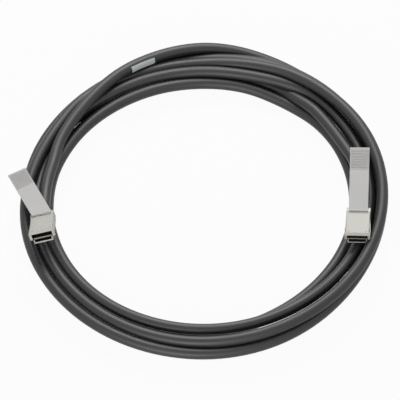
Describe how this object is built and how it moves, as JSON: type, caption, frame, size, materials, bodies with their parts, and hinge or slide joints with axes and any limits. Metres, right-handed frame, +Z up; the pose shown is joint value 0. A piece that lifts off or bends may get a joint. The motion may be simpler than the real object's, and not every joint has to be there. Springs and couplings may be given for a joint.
{
  "type": "direct attach copper cable",
  "caption": "Loose flat coil of dark round data cable with a short metal plug, side latch arms and a grey pull tab at each end.",
  "frame": {"origin": "on the floor under the middle of the whole cable", "axes": "+Z up, floor at z = 0; the two plugs lie left (-X) and right (+X) on the coil with their noses towards -Y"},
  "size_m": [0.2676, 0.261, 0.0415],
  "materials": {
    "shell_metal": "satin nickel-zinc plating over a die-casting",
    "screw_steel": "zinc-plated steel",
    "spring_metal": "bright formed spring sheet",
    "slider_steel": "satin stamped steel",
    "tab_plastic": "soft light grey moulded plastic",
    "spring_steel": "music wire",
    "circuit_board": "olive solder mask over glass laminate",
    "gold_contact": "gold plating",
    "chip_resin": "moulded resin",
    "capacitor_ceramic": "fired ceramic",
    "ground_copper": "tinned copper alloy",
    "pair_jacket": "foil-wrapped pair",
    "comb_plastic": "natural nylon",
    "ferrule_metal": "crimped tinned sleeve",
    "cable_shield": "tinned braid",
    "boot_rubber": "matt moulded strain relief",
    "cable_jacket": "matt charcoal jacket"
  },
  "bodies": {
    "cable": {"cable_coil": "cable_jacket", "cable_lead_a": "cable_jacket", "cable_lead_b": "cable_jacket", "upper_shell_a": "shell_metal", "lower_shell_a": "shell_metal", "shell_screws_a": "screw_steel", "emi_spring_a": "spring_metal", "return_springs_a": "spring_steel", "paddle_card_a": "circuit_board", "contact_pads_a": "gold_contact", "memory_chip_a": "chip_resin", "capacitors_a": "capacitor_ceramic", "ground_bars_a": "ground_copper", "wire_pairs_upper_a": "pair_jacket", "wire_pairs_lower_a": "pair_jacket", "wire_comb_a": "comb_plastic", "crimp_ferrule_a": "ferrule_metal", "cable_core_a": "cable_shield", "cable_boot_a": "boot_rubber", "upper_shell_b": "shell_metal", "lower_shell_b": "shell_metal", "shell_screws_b": "screw_steel", "emi_spring_b": "spring_metal", "return_springs_b": "spring_steel", "paddle_card_b": "circuit_board", "contact_pads_b": "gold_contact", "memory_chip_b": "chip_resin", "capacitors_b": "capacitor_ceramic", "ground_bars_b": "ground_copper", "wire_pairs_upper_b": "pair_jacket", "wire_pairs_lower_b": "pair_jacket", "wire_comb_b": "comb_plastic", "crimp_ferrule_b": "ferrule_metal", "cable_core_b": "cable_shield", "cable_boot_b": "boot_rubber"},
    "latch_a": {"latch_slider_a": "slider_steel", "pull_tab_a": "tab_plastic"},
    "latch_b": {"latch_slider_b": "slider_steel", "pull_tab_b": "tab_plastic"}
  },
  "joints": [
    {"name": "latch_a_slide", "type": "slide", "parent": "cable", "child": "latch_a", "axis": [0.0242, 0.9236, -0.3827], "range_m": [0, 0.0022], "stiffness_N_per_m": 1500, "springref_m": -0.003, "deforming": ["return_springs_a"]},
    {"name": "latch_b_slide", "type": "slide", "parent": "cable", "child": "latch_b", "axis": [0.0522, 0.9962, -0.0698], "range_m": [0, 0.0022], "stiffness_N_per_m": 1500, "springref_m": -0.003, "deforming": ["return_springs_b"]}
  ]
}
